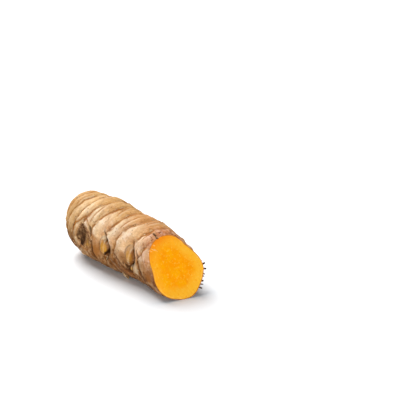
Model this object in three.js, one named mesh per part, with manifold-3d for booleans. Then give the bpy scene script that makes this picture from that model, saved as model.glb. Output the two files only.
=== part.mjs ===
// A finger of fresh turmeric: one solid with a rounded growing tip at its -X end and a slanting knife
// cut at its +X end. It lies on its side along X on the surface Z = 0, and its origin is the middle of
// its footprint. Lengths are in millimetres, and angles round the finger are in degrees: 0 faces -Y,
// 90 faces up, 180 faces +Y and 270 faces the surface.
//
// The skin is a grid wrapped round a nearly straight axis. Its rows follow the rings that the leaf
// sheaths left. From each ring the skin falls slowly towards the cut, and it steps up again at the next
// ring, as overlapping sheaths do. Buds and scars are raised from the skin and sunk in it by formula.
// Root stubs and scraps of dry sheath are fused to it.

import * as THREE from "three";
import Module from "manifold-3d";
import { mergeVertices } from "three/addons/utils/BufferGeometryUtils.js";

// The finger as a whole.
const fingerLength = 65;
const domeLength = 11;
const domeRoundness = 2.15;
const nearTip = 5;
const restDepth = 0.5;
const tipLift = { height: 3.0, length: 18 };
const cutLift = { height: 0.4, from: 44, to: 60 };

// Mean radius of the finger at stations along it, as [distance from the tip, radius].
const girth = [
  [0, 11.2],
  [11, 11.0],
  [19, 11.7],
  [31, 10.95],
  [40, 10.75],
  [50, 10.2],
  [57, 9.55],
  [62, 9.7],
];

// How far the finger sways to its +Y side at stations along it, as [distance from the tip, offset].
const sway = [
  [0, -0.3],
  [16, -0.05],
  [30, 0.35],
  [38, 1.2],
  [45, 1.85],
  [52, 1.3],
  [60, 0.1],
  [66, -0.3],
];

// The cross-section is round near the tip and has soft lobes by the cut.
const lobes = [
  { count: 2, depth: 0.012, peak: 60 },
  { count: 3, depth: 0.055, peak: -56 },
  { count: 5, depth: 0.028, peak: 34 },
];
const leastLobe = 0.35;

// The knife cut: where its plane meets the axis, and how far the plane leans.
const cut = { at: 60.2, leanBack: 32, turn: -10 };

// The rings: distance from the tip on the axis, how far the ring leans and which way round its far side
// lies, how far it arches, how far its edge wanders, and the height of its step. All arch towards the tip
// on the two sides of the finger. A ring keeps clear of the cut, and its step fades close to it.
const rings = [
  { at: 1.9, lean: 0.5, towards: 60, arch: 0.1, wander: 0.1, step: 0.3 },
  { at: 7.1, lean: 1.6, towards: 148, arch: 0.5, wander: 0.25, step: 0.7 },
  { at: 10.3, lean: 2.5, towards: 130, arch: 0.7, wander: 0.3, step: 0.8 },
  { at: 14.8, lean: 2.2, towards: 125, arch: 1.1, wander: 0.35, step: 0.85 },
  { at: 20.5, lean: 3.0, towards: 135, arch: 1.2, wander: 0.4, step: 0.85 },
  { at: 27.5, lean: 2.3, towards: 165, arch: 0.8, wander: 0.5, step: 1.0 },
  { at: 34.5, lean: 2.5, towards: 162, arch: 0.8, wander: 0.5, step: 1.0 },
  { at: 41.6, lean: 2.7, towards: 180, arch: 2.4, wander: 0.45, step: 1.15 },
  { at: 47.6, lean: 1.6, towards: 138, arch: 1.2, wander: 0.5, step: 0.55 },
  { at: 54.6, lean: 2.4, towards: 175, arch: 2.4, wander: 0.4, step: 0.85 },
];
const archTop = 86;
const clearOfCut = 0.9;
const raggedness = [5, 9, 14];
const unevenness = { least: 0.5, most: 1, waves: [2, 3, 7] };

// Between two rings the skin swells a little, and its edge at a ring curls up in a lip.
const swell = 0.3;
const lip = { share: 0.35, width: 0.7 };

// Buds and scars on the two sides of the finger: the place of each, its half-width along the finger, its
// half-length round it, its turn, the depth of the hollow, the rim's height and how far the bud stands out.
const buds = [
  { at: 18.9, round: -1, wide: 4.5, long: 5.2, turn: 10, hollow: 1.7, rim: 0.5, stands: 0 },
  { at: 30.5, round: 0, wide: 3.4, long: 4.9, turn: 4, hollow: 1.2, rim: 0.35, stands: 1.1 },
  { at: 43.9, round: 6, wide: 3.4, long: 5.1, turn: -10, hollow: 1.1, rim: 0.3, stands: 1.2 },
  { at: 5.7, round: -8, wide: 1.6, long: 2.0, turn: 0, hollow: 0.4, rim: 0.1, stands: 0.6 },
  { at: 45.0, round: -20, wide: 1.4, long: 1.8, turn: 0, hollow: 0.4, rim: 0.1, stands: 0.4 },
  { at: 13.0, round: 186, wide: 2.2, long: 3.0, turn: -8, hollow: 0.8, rim: 0.3, stands: 0.9 },
  { at: 24.0, round: 178, wide: 3.0, long: 4.4, turn: 10, hollow: 1.5, rim: 0.5, stands: 0 },
  { at: 38.5, round: 182, wide: 3.2, long: 4.2, turn: 0, hollow: 1.2, rim: 0.5, stands: 1.6 },
  { at: 52.0, round: 172, wide: 2.2, long: 3.2, turn: 6, hollow: 0.8, rim: 0.3, stands: 0.9 },
];
const hollowShape = { reach: 0.8, steepness: 2.4, rimAt: 1.3, rimWidth: 0.4 };
const budShape = { wide: 0.7, long: 0.86, taper: 0.45, sides: 12, rows: 8 };

// The grid's spacing, its rows close to a ring, as distances from it, and how much its columns crowd
// together on the two sides, where the buds are.
const columns = 64;
const crowding = 0.12;
const rowSpacing = 1.35;
const rowsAfterTip = [0.35, 0.9];
const rowsAfterRing = [0, 0.9];
const rowsBeforeRing = [1.2, 0.3];

// Root stubs and scraps of dry sheath. A row of stubs follows the cut's edge, and another the far side.
const stub = { length: 1.5, base: 0.5, end: 0.26, sides: 6, sunk: 0.6 };
const stubsByCut = { count: 7, from: 184, to: 228, inside: 1.2, leans: -35 };
const stubsBehind = { count: 10, from: 9, to: 54, round: 210, wander: 15 };
const scrap = { thick: 0.7, sunk: 0.6 };
const scraps = [
  { at: 43.4, round: 118, long: 3.4, high: 1.2, leans: 35 },
  { at: 38.4, round: -46, long: 3.2, high: 1.6, leans: 50 },
  { at: 55.4, round: 205, long: 3.2, high: 1.3, leans: 40 },
  { at: 20.6, round: 140, long: 3.0, high: 1.2, leans: 40 },
];

const skinColour = new THREE.Color("#cda173");
const creaseColour = new THREE.Color("#8c5d30");
const fleshColour = new THREE.Color("#f99d0c");

const radians = THREE.MathUtils.degToRad;
const wasm = await Module();
wasm.setup();

// A smooth line through [place, value] stations, flat beyond its ends.
function through(stations, place) {
  const last = stations.length - 1;
  if (place <= stations[0][0]) return stations[0][1];
  if (place >= stations[last][0]) return stations[last][1];
  const i = stations.findIndex((station) => station[0] > place) - 1;
  const slope = (k) => {
    const a = stations[Math.max(k - 1, 0)];
    const b = stations[Math.min(k + 1, last)];
    return (b[1] - a[1]) / (b[0] - a[0]);
  };
  const [x0, y0] = stations[i];
  const [x1, y1] = stations[i + 1];
  const span = x1 - x0;
  const t = (place - x0) / span;
  const rise = y1 - y0;
  const a = slope(i) * span - rise;
  const b = rise - slope(i + 1) * span;
  return y0 + t * rise + t * (1 - t) * (a * (1 - t) + b * t);
}

// A wave that closes on itself round the finger, from -1 to 1, different for each seed.
function wave(angle, seed, counts) {
  let sum = 0;
  for (const [k, count] of counts.entries()) {
    sum += Math.sin(count * angle + 2.4 * seed + 1.7 * k * seed + k) / (1 + 0.5 * k);
  }
  return sum / 1.9;
}

// Radius of the body before rings and buds are added.
function bodyRadius(along, angle) {
  const towardsCut = THREE.MathUtils.smoothstep(along, 0, fingerLength);
  const strength = leastLobe + (1 - leastLobe) * towardsCut;
  let lobed = 1;
  for (const { count, depth, peak } of lobes) {
    lobed += strength * depth * Math.cos(count * (angle - radians(peak)));
  }
  const short = Math.max(0, 1 - along / domeLength);
  const dome = (1 - short ** domeRoundness) ** (1 / domeRoundness);
  return through(girth, along) * lobed * dome;
}

// The axis sways a little to the side, rests the body on the surface, and rises at both ends.
function axisAt(along) {
  const tipRise = tipLift.height * Math.max(0, 1 - along / tipLift.length) ** 2;
  const cutRise = cutLift.height * THREE.MathUtils.smoothstep(along, cutLift.from, cutLift.to);
  return { y: through(sway, along), z: through(girth, along) - restDepth + tipRise + cutRise };
}

// Distance along the finger of the cut's plane at a point beside the axis.
function cutAt(y, z) {
  const middle = through(girth, cut.at) - restDepth;
  return cut.at - y * Math.tan(radians(cut.turn)) - (z - middle) * Math.tan(radians(cut.leanBack));
}

// Distance along the finger of the cut's edge at an angle round it.
function cutEdge(angle) {
  const radius = bodyRadius(cut.at, angle);
  const centre = axisAt(cut.at);
  return cutAt(centre.y - radius * Math.cos(angle), centre.z + radius * Math.sin(angle));
}

// Where ring number i runs at an angle round the finger. Number -1 is the tip, and the last is the cut.
function ringLine(i, angle) {
  if (i < 0) return 0;
  if (i >= rings.length) return cutEdge(angle);
  const { at, lean, towards, arch, wander } = rings[i];
  const leaning = lean * Math.cos(angle - radians(towards));
  const arched = arch * Math.cos(2 * (angle - radians(archTop)));
  const line = at + leaning + arched + wander * wave(angle, i + 1, raggedness);
  return Math.min(line, cutEdge(angle) - clearOfCut);
}

// Height of a ring's step at an angle round the finger.
function stepHeight(i, angle) {
  if (i < 0 || i >= rings.length) return 0;
  const { least, most, waves } = unevenness;
  const uneven = least + (most - least) * (0.5 + 0.5 * wave(angle, 3 * i + 5, waves));
  const room = cutEdge(angle) - ringLine(i, angle);
  return rings[i].step * uneven * THREE.MathUtils.smoothstep(room, clearOfCut, 3 * clearOfCut);
}

// Height of the skin over the body between two rings, at a distance from each.
function sheath(i, fromRing, toRing, angle) {
  const high = 0.5 * stepHeight(i, angle);
  const low = -0.5 * stepHeight(i + 1, angle);
  const t = fromRing / (fromRing + toRing);
  const swollen = swell * Math.sin(Math.PI * t);
  const curled = lip.share * high * Math.exp(-fromRing / lip.width);
  return high + (low - high) * t + swollen + curled;
}

// Height that the hollows of the buds and scars, and their rims, add at a place on the skin.
function hollowHeight(along, angle) {
  const { reach, steepness, rimAt, rimWidth } = hollowShape;
  let height = 0;
  for (const { at, round, wide, long, turn, hollow, rim } of buds) {
    const away = Math.atan2(Math.sin(angle - radians(round)), Math.cos(angle - radians(round)));
    const across = away * bodyRadius(Math.max(along, nearTip), angle);
    const c = Math.cos(radians(turn));
    const s = Math.sin(radians(turn));
    const x = ((along - at) * c + across * s) / wide;
    const y = (across * c - (along - at) * s) / long;
    const far = Math.hypot(x, y);
    height -= hollow * Math.exp(-((far / reach) ** steepness));
    height += rim * Math.exp(-(((far - rimAt) / rimWidth) ** 2));
  }
  return height;
}

// A point of the skin. Low points are pressed flat on the surface.
function skinPoint(i, t, angle) {
  const start = ringLine(i, angle);
  const end = ringLine(i + 1, angle);
  const along = start + t * (end - start);
  const last = i + 1 === rings.length;
  const relief = sheath(i, along - start, end - along, angle) + hollowHeight(along, angle);
  const ends = Math.min(1, along / nearTip) * (last ? 1 - t ** 4 : 1);
  const body = last ? bodyRadius(Math.min(along, cut.at), angle) : bodyRadius(along, angle);
  const radius = body + relief * ends;
  const centre = axisAt(Math.min(along, cut.at));
  const y = centre.y - radius * Math.cos(angle);
  const z = Math.max(0, centre.z + radius * Math.sin(angle));
  return new THREE.Vector3(last && t === 1 ? cutAt(y, z) : along, y, z);
}

// The rows of the grid, as [ring number, share of the way to the next ring].
function gridRows() {
  const rows = [];
  for (let i = -1; i < rings.length; i++) {
    const length = (i + 1 < rings.length ? rings[i + 1].at : cut.at) - (i < 0 ? 0 : rings[i].at);
    const first = i < 0 ? rowsAfterTip : rowsAfterRing;
    const last = i + 1 < rings.length ? rowsBeforeRing : [0];
    const from = first.at(-1);
    const to = length - last[0];
    const between = Math.max(1, Math.round((to - from) / rowSpacing));
    for (const distance of first) rows.push([i, distance / length]);
    for (let k = 1; k < between; k++) rows.push([i, (from + ((to - from) * k) / between) / length]);
    for (const distance of last) rows.push([i, 1 - distance / length]);
  }
  return rows;
}

// The closed skin: a fan at the tip, the grid, and a flat fan over the cut. Each cell of the grid is
// split along its shorter diagonal.
function skinGeometry() {
  const rows = gridRows();
  const tip = new THREE.Vector3(0, axisAt(0).y, axisAt(0).z);
  const points = [tip];
  for (const [i, t] of rows) {
    for (let column = 0; column < columns; column++) {
      const turn = (2 * Math.PI * column) / columns;
      points.push(skinPoint(i, t, turn - crowding * Math.sin(2 * turn)));
    }
  }
  const middle = axisAt(cut.at);
  points.push(new THREE.Vector3(cutAt(middle.y, middle.z), middle.y, middle.z));
  const index = [];
  const at = (row, column) => 1 + row * columns + (column % columns);
  const lastRow = rows.length - 1;
  for (let column = 0; column < columns; column++) {
    index.push(0, at(0, column), at(0, column + 1));
    for (let row = 0; row < lastRow; row++) {
      const corners = [at(row, column), at(row + 1, column), at(row + 1, column + 1), at(row, column + 1)];
      const [a, b, c, d] = corners.map((k) => points[k]);
      const turned = b.distanceTo(d) < a.distanceTo(c);
      if (turned) corners.push(corners.shift());
      index.push(corners[0], corners[1], corners[2], corners[0], corners[2], corners[3]);
    }
    index.push(at(lastRow, column), points.length - 1, at(lastRow, column + 1));
  }
  return new THREE.BufferGeometry().setFromPoints(points).setIndex(index);
}

function solidOf(geometry) {
  const bare = geometry.clone();
  bare.deleteAttribute("normal");
  bare.deleteAttribute("uv");
  const merged = mergeVertices(bare, 1e-4);
  return new wasm.Manifold(
    new wasm.Mesh({
      numProp: 3,
      vertProperties: new Float32Array(merged.attributes.position.array),
      triVerts: new Uint32Array(merged.index.array),
    }),
  );
}

// Stands a small piece, modelled along +Z from its foot, on the skin, leaning towards the tip.
function plant(geometry, along, round, sunk, leans) {
  const angle = radians(round);
  const centre = axisAt(along);
  const radius = bodyRadius(along, angle) - sunk;
  const out = new THREE.Vector3(0, -Math.cos(angle), Math.sin(angle));
  const ahead = new THREE.Vector3(1, 0, 0);
  const side = new THREE.Vector3().crossVectors(out, ahead);
  const lean = new THREE.Matrix4().makeRotationY(radians(-leans));
  const stand = new THREE.Matrix4().makeBasis(ahead, side, out);
  stand.setPosition(along, centre.y + out.y * radius, centre.z + out.z * radius);
  return geometry.clone().applyMatrix4(lean).applyMatrix4(stand);
}

// Each bud is an almond with its points up and down the finger's side, bedded in its hollow.
function almonds() {
  const standing = buds.filter(({ stands }) => stands > 0);
  return standing.map(({ at, round, wide, long, turn, hollow, stands }) => {
    const almond = new THREE.SphereGeometry(1, budShape.sides, budShape.rows);
    const place = almond.attributes.position;
    for (let k = 0; k < place.count; k++) {
      place.setX(k, place.getX(k) * (1 - budShape.taper * place.getY(k) ** 2));
    }
    almond.scale(budShape.wide * wide, budShape.long * long, hollow + stands);
    almond.rotateZ(radians(turn));
    return plant(almond, at, round, hollow, 0);
  });
}

function rootStub(along, round, leans) {
  const length = stub.length * (0.85 + 0.25 * Math.sin(5 * along)) + stub.sunk;
  const cone = new THREE.CylinderGeometry(stub.end, stub.base, length, stub.sides);
  cone.rotateX(Math.PI / 2);
  cone.translate(0, 0, length / 2);
  return plant(cone, along, round, stub.sunk, leans);
}

// Root stubs stand low on the far side, clear of the surface.
function rootStubs() {
  const made = [];
  for (let k = 0; k < stubsByCut.count; k++) {
    const { count, from, to, inside, leans } = stubsByCut;
    const round = from + ((to - from) * k) / (count - 1);
    made.push(rootStub(cutEdge(radians(round)) - inside, round, leans));
  }
  for (let k = 0; k < stubsBehind.count; k++) {
    const { count, from, to, round, wander } = stubsBehind;
    const along = from + ((to - from) * k) / (count - 1);
    made.push(rootStub(along, round + wander * Math.sin(2.4 * k), 20 * Math.sin(2.1 * k)));
  }
  return made;
}

// Each scrap is a torn flake of sheath, with a ragged edge, standing across the finger.
function sheathScraps() {
  return scraps.map(({ at, round, long, high, leans }) => {
    const flake = new THREE.Shape();
    flake.moveTo(-long / 2, 0);
    flake.lineTo(-0.42 * long, 0.75 * high + scrap.sunk);
    flake.lineTo(-0.12 * long, 0.6 * high + scrap.sunk);
    flake.lineTo(0.1 * long, high + scrap.sunk);
    flake.lineTo(0.4 * long, 0.7 * high + scrap.sunk);
    flake.lineTo(long / 2, 0);
    const blade = new THREE.ExtrudeGeometry(flake, { depth: scrap.thick, bevelEnabled: false });
    blade.rotateX(Math.PI / 2);
    blade.rotateZ(Math.PI / 2);
    return plant(blade, at, round, scrap.sunk, leans);
  });
}

// Paints flesh on the faces that lie in the cut's plane, and skin on the rest.
function painted(geometry) {
  const flat = geometry.toNonIndexed();
  flat.computeVertexNormals();
  const position = flat.attributes.position;
  const colours = [];
  for (let first = 0; first < position.count; first += 3) {
    const corners = [0, 1, 2].map((k) => new THREE.Vector3().fromBufferAttribute(position, first + k));
    const onCut = corners.every((p) => Math.abs(p.x - cutAt(p.y, p.z)) < 0.01);
    const normal = new THREE.Vector3().fromBufferAttribute(flat.attributes.normal, first);
    const steep = THREE.MathUtils.clamp(-normal.x * 1.6, 0, 1);
    const skin = skinColour.clone().lerp(creaseColour, corners[0].x > domeLength ? steep : 0);
    for (let k = 0; k < 3; k++) colours.push(...(onCut ? fleshColour : skin).toArray());
  }
  flat.setAttribute("color", new THREE.Float32BufferAttribute(colours, 3));
  return flat;
}

function rhizome() {
  let solid = solidOf(skinGeometry());
  for (const piece of [...almonds(), ...rootStubs(), ...sheathScraps()]) solid = solid.add(solidOf(piece));
  const { vertProperties, triVerts, numProp } = solid.getMesh();
  const positions = new THREE.InterleavedBuffer(vertProperties, numProp);
  const geometry = new THREE.BufferGeometry();
  geometry.setAttribute("position", new THREE.InterleavedBufferAttribute(positions, 3, 0));
  geometry.setIndex(new THREE.BufferAttribute(triVerts, 1));
  const finished = painted(geometry);
  finished.computeBoundingBox();
  const middle = finished.boundingBox.getCenter(new THREE.Vector3());
  finished.translate(-middle.x, -middle.y, -finished.boundingBox.min.z);
  const material = new THREE.MeshStandardMaterial({ vertexColors: true, roughness: 0.75, metalness: 0 });
  const mesh = new THREE.Mesh(finished, material);
  mesh.name = "rhizome";
  return mesh;
}

const turmeric = new THREE.Group();
turmeric.add(rhizome());

export default turmeric;
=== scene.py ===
import math

import bmesh
import bpy
import numpy as np
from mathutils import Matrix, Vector


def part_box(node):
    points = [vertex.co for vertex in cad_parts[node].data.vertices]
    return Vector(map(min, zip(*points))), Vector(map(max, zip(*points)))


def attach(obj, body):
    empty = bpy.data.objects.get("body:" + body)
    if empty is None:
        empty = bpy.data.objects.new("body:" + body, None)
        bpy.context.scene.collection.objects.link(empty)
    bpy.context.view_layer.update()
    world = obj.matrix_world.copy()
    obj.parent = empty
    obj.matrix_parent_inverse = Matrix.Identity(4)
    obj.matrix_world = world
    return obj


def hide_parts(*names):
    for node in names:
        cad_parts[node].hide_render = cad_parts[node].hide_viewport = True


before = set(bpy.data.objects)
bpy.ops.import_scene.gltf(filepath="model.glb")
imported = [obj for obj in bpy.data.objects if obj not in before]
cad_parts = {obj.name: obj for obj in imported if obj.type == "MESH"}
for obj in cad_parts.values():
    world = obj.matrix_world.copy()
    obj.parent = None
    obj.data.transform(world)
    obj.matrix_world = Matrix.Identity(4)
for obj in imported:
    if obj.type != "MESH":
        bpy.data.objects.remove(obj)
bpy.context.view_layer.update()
mm = 0.001

# A finger of fresh turmeric. "along" is the distance in mm from its growing tip, towards the knife cut.
# "angle" goes round it: 0 faces -Y, 90 faces up, 180 faces +Y and 270 faces the table.
finger = {
    "length": 65, "meanRadius": 11, "domeLength": 11, "domeRoundness": 2.15, "nearTip": 5,
    "restDepth": 0.5,
    "tipLift": 3.0, "tipLiftLength": 18,
    "cutLift": 0.4, "cutLiftFrom": 44, "cutLiftTo": 60,
    "girth": [(0, 11.2), (11, 11.0), (19, 11.7), (31, 10.95), (40, 10.75), (50, 10.2), (57, 9.55), (62, 9.7)],
    "sway": [(0, -0.3), (16, -0.05), (30, 0.35), (38, 1.2), (45, 1.85), (52, 1.3), (60, 0.1), (66, -0.3)],
    "lobes": [(2, 0.012, 60), (3, 0.055, -56), (5, 0.028, 34)], "leastLobe": 0.35,
    "cutAt": 60.2, "cutLeanBack": 32, "cutTurn": -10,
}

# Each ring: place, lean, where the lean points, arch, wander and the height of its step.
rings = [
    (1.9, 0.5, 60, 0.1, 0.1, 0.3),
    (7.1, 1.6, 148, 0.5, 0.25, 0.7),
    (10.3, 2.5, 130, 0.7, 0.3, 0.8),
    (14.8, 2.2, 125, 1.1, 0.35, 0.85),
    (20.5, 3.0, 135, 1.2, 0.4, 0.85),
    (27.5, 2.3, 165, 0.8, 0.5, 1.0),
    (34.5, 2.5, 162, 0.8, 0.5, 1.0),
    (41.6, 2.7, 180, 2.4, 0.45, 1.15),
    (47.6, 1.6, 138, 1.2, 0.5, 0.55),
    (54.6, 2.4, 175, 2.4, 0.4, 0.85),
]
ringForm = {
    "archTop": 86, "clearOfCut": 0.9, "wanderWaves": (5, 9, 14),
    "leastStep": 0.5, "stepWaves": (2, 3, 7), "swell": 0.3, "lipShare": 0.35, "lipWidth": 0.7,
}

# Each bud: place, angle, half-width, half-length, turn, rim, hollow, how far it stands out, and how
# strong its amber lens and its cream top are. One that doesn't stand out is the scar of a lost bud.
buds = [
    (18.9, -1, 4.5, 5.2, 10, 0.5, 1.7, 0, 0, 0),
    (30.5, 0, 3.4, 4.9, 4, 0.35, 1.2, 1.1, 1, 0.9),
    (43.9, 6, 3.4, 5.1, -10, 0.3, 1.1, 1.2, 0.5, 0.3),
    (5.7, -8, 1.6, 2.0, 0, 0.1, 0.4, 0.6, 1, 0),
    (45.0, -20, 1.4, 1.8, 0, 0.1, 0.4, 0.4, 0.6, 0),
    (13.0, 186, 2.2, 3.0, -8, 0.3, 0.8, 0.9, 0.5, 0.4),
    (24.0, 178, 3.0, 4.4, 10, 0.5, 1.5, 0, 0, 0),
    (38.5, 182, 3.2, 4.2, 0, 0.5, 1.2, 1.6, 0.6, 0.6),
    (52.0, 172, 2.2, 3.2, 6, 0.3, 0.8, 0.9, 0.3, 0.5),
]
budForm = {  # shares of the bud's own half-width and half-length, and heights in mm
    "reach": 0.8, "steepness": 2.4, "rimAt": 1.3, "rimWidth": 0.4,
    "wide": 0.7, "long": 0.86, "taper": 0.45, "narrowest": 0.3,
    "ridgeAt": 0.5, "ridgeSlant": 0.25, "scaleGrain": 0.1, "scaleStep": 0.3,
    "moatAt": 1.2, "moatWidth": 0.26, "moatDepth": 0.8, "gapAt": 1.27, "gapWidth": 0.28,
    "lensPlace": (0.24, -0.08), "lensSize": (0.52, 0.56),
}
scarForm = {
    "taper": 0.35, "narrowest": 0.3, "ragged": 0.12, "rough": 0.3, "lipAt": 1.16, "lipWidth": 0.12,
    "rustPlace": (0.2, -0.62), "rustSize": 0.42,
}


def smooth(low, high, value):
    t = np.clip((value - low) / (high - low), 0, 1)
    return t * t * (3 - 2 * t)


def bell(value, width):
    return np.exp(-((value / width) ** 2))


def through(stations, place):
    x, y = np.array(stations, float).T
    k = np.arange(len(x))
    after, before = np.minimum(k + 1, len(x) - 1), np.maximum(k - 1, 0)
    slope = (y[after] - y[before]) / (x[after] - x[before])
    p = np.clip(place, x[0], x[-1])
    i = np.clip(np.searchsorted(x, p, side="right") - 1, 0, len(x) - 2)
    span, rise = x[i + 1] - x[i], y[i + 1] - y[i]
    t = (p - x[i]) / span
    a, b = slope[i] * span - rise, rise - slope[i + 1] * span
    return y[i] + t * rise + t * (1 - t) * (a * (1 - t) + b * t)


def wave(angle, seed, counts):
    waves = [np.sin(n * angle + 2.4 * seed + 1.7 * k * seed + k) / (1 + 0.5 * k)
             for k, n in enumerate(counts)]
    return sum(waves) / 1.9


noiseTable = {"size": 4096, "primes": (73856093, 19349663, 83492791)}


def latticeNoise(x, y, z, seed):  # smooth noise from -1 to 1 with cells one unit wide
    table = np.random.default_rng(seed).uniform(-1, 1, noiseTable["size"])
    corner = [np.floor(v).astype(np.int64) for v in (x, y, z)]
    ease = [smooth(0, 1, v - c) for v, c in zip((x, y, z), corner)]
    total = 0
    for offsets in np.ndindex(2, 2, 2):
        key, share = 0, 1
        for c, e, offset, prime in zip(corner, ease, offsets, noiseTable["primes"]):
            key = key ^ (c + offset) * prime
            share = share * (e if offset else 1 - e)
        total = total + share * table[key & noiseTable["size"] - 1]
    return total


def grain(along, angle, alongSize, roundSize, seed, octaves=2):  # noise whose grains have these sizes in mm
    total, reach = 0, 0
    for k in range(octaves):
        finer, strength = 2.1 ** k, 0.6 ** k
        around = finger["meanRadius"] * finer / roundSize
        across, up = around * np.cos(angle), around * np.sin(angle)
        total = total + latticeNoise(along * finer / alongSize, across, up, seed + 17 * k) * strength
        reach += strength
    return total / reach


def bodyRadius(along, angle):
    strength = finger["leastLobe"] + (1 - finger["leastLobe"]) * smooth(0, finger["length"], along)
    lobes = [depth * np.cos(n * (angle - math.radians(peak))) for n, depth, peak in finger["lobes"]]
    lobed = 1 + strength * sum(lobes)
    short = np.maximum(0, 1 - along / finger["domeLength"])
    power = finger["domeRoundness"]
    return through(finger["girth"], along) * lobed * np.maximum(0, 1 - short ** power) ** (1 / power)


def axisAt(along):
    tipRise = finger["tipLift"] * np.maximum(0, 1 - along / finger["tipLiftLength"]) ** 2
    cutRise = finger["cutLift"] * smooth(finger["cutLiftFrom"], finger["cutLiftTo"], along)
    height = through(finger["girth"], along) - finger["restDepth"] + tipRise + cutRise
    return through(finger["sway"], along), height


def cutPlane(y, z):
    middle = through(finger["girth"], finger["cutAt"]) - finger["restDepth"]
    aside, back = math.tan(math.radians(finger["cutTurn"])), math.tan(math.radians(finger["cutLeanBack"]))
    return finger["cutAt"] - y * aside - (z - middle) * back


def cutEdge(angle):
    radius = bodyRadius(finger["cutAt"], angle)
    y, z = axisAt(finger["cutAt"])
    return cutPlane(y - radius * np.cos(angle), z + radius * np.sin(angle))


def ringLine(i, angle):
    if i < 0:
        return np.zeros_like(angle)
    if i >= len(rings):
        return cutEdge(angle)
    at, lean, towards, arch, wander, step = rings[i]
    line = at + lean * np.cos(angle - math.radians(towards))
    line = line + arch * np.cos(2 * (angle - math.radians(ringForm["archTop"])))
    line = line + wander * wave(angle, i + 1, ringForm["wanderWaves"])
    return np.minimum(line, cutEdge(angle) - ringForm["clearOfCut"])


def stepHeight(i, angle):
    if i < 0 or i >= len(rings):
        return np.zeros_like(angle)
    least = ringForm["leastStep"]
    uneven = least + (1 - least) * (0.5 + 0.5 * wave(angle, 3 * i + 5, ringForm["stepWaves"]))
    room = cutEdge(angle) - ringLine(i, angle)
    return rings[i][5] * uneven * smooth(ringForm["clearOfCut"], 3 * ringForm["clearOfCut"], room)


def awayFrom(angle, towards):  # the turn in radians from a direction in degrees
    away = angle - math.radians(towards)
    return np.arctan2(np.sin(away), np.cos(away))


def budPlace(bud, along, angle):  # place in the bud's own frame, where its half-width and half-length are 1
    at, towards, wide, long, turn = bud[:5]
    across = awayFrom(angle, towards) * bodyRadius(np.maximum(along, finger["nearTip"]), angle)
    c, s = math.cos(math.radians(turn)), math.sin(math.radians(turn))
    return ((along - at) * c + across * s) / wide, (across * c - (along - at) * s) / long


# The skin as a fine grid. Its rows follow the rings, so each torn sheath edge is a real overhanging lip.
# Depths, sizes and reaches are in mm, and the grain of each kind of relief goes along and round the finger.
skin = {
    "columns": 280, "rowSpacing": 0.3, "tipRows": 24, "foldRadius": 10.8,
    "afterRing": (0, 0.05, 0.12, 0.22, 0.36), "beforeRing": (0.36, 0.2, 0.09, 0),
    "overhang": 0.5, "overhangReach": 0.35, "edgeRound": 0.13, "edgeReach": 0.06,
    "frayed": 0.2, "frayReach": 0.3, "jag": 0.75, "jagReach": 1.3, "jagSize": 3.0,
    "wrinkleDepth": 0.14, "wrinkleGrain": (0.75, 4.0), "creaseDepth": 0.24, "creaseWidth": 0.38,
    "foldedGrain": (1.3, 6.0), "foldedSharpness": 0.12, "lumpDepth": 0.2, "lumpGrain": (3.4, 3.4),
    "fibreDepth": 0.04, "fibreGrain": (5.0, 0.6), "shareOnBuds": 0.45,
}

# Short creases between the rings: place, angle, half-length in degrees, slope and depth.
creases = [
    (4.2, 62, 30, 0.6, 0.12), (9.7, 66, 20, 0.8, 0.12), (16.6, 62, 22, 1.4, 0.14),
    (23.0, 50, 26, 0.9, 0.12), (30.2, 82, 22, -1.0, 0.12), (37.6, 66, 26, 1.2, 0.14),
    (45.4, 96, 30, 0.8, 0.14), (52.0, 24, 26, -1.2, 0.16), (31.0, -32, 18, -1.5, 0.12),
    (38.6, -30, 16, -1.0, 0.14), (51.4, -34, 20, -1.6, 0.16), (24.2, 140, 24, 1.0, 0.14),
    (31.5, 200, 26, 0.8, 0.14), (45.5, 210, 30, 1.0, 0.14), (5.0, 190, 34, 0.5, 0.12),
    (16.8, 236, 24, 1.0, 0.12), (38.0, 250, 26, 0.6, 0.12), (52.5, 140, 20, -0.8, 0.14),
    (35.0, -30, 20, -2.0, 0.12), (46.4, -42, 20, -2.2, 0.12), (21.4, -34, 18, -1.5, 0.12),
    (25.6, -26, 14, -1.4, 0.12), (14.0, -26, 16, -1.0, 0.1), (12.6, 84, 22, 0.9, 0.1),
    (33.4, 40, 16, 1.4, 0.1), (39.8, 52, 18, 1.2, 0.1), (49.6, 58, 16, 0.8, 0.1), (18.0, 100, 24, 0.8, 0.1),
]
creaseForm = {  # mm across each of the creases
    "waver": 0.35, "width": 0.22, "bankAt": 0.5, "bankWidth": 0.35, "rustFrom": 0.34, "rustTo": 0.16,
    "lipAt": 0.75, "lipWidth": 0.4,
}

# A split in the skin beside the cut: from, to, angle, half-width and depth.
cracks = [(50.3, 54.8, 69, 0.28, 0.5)]
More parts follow.
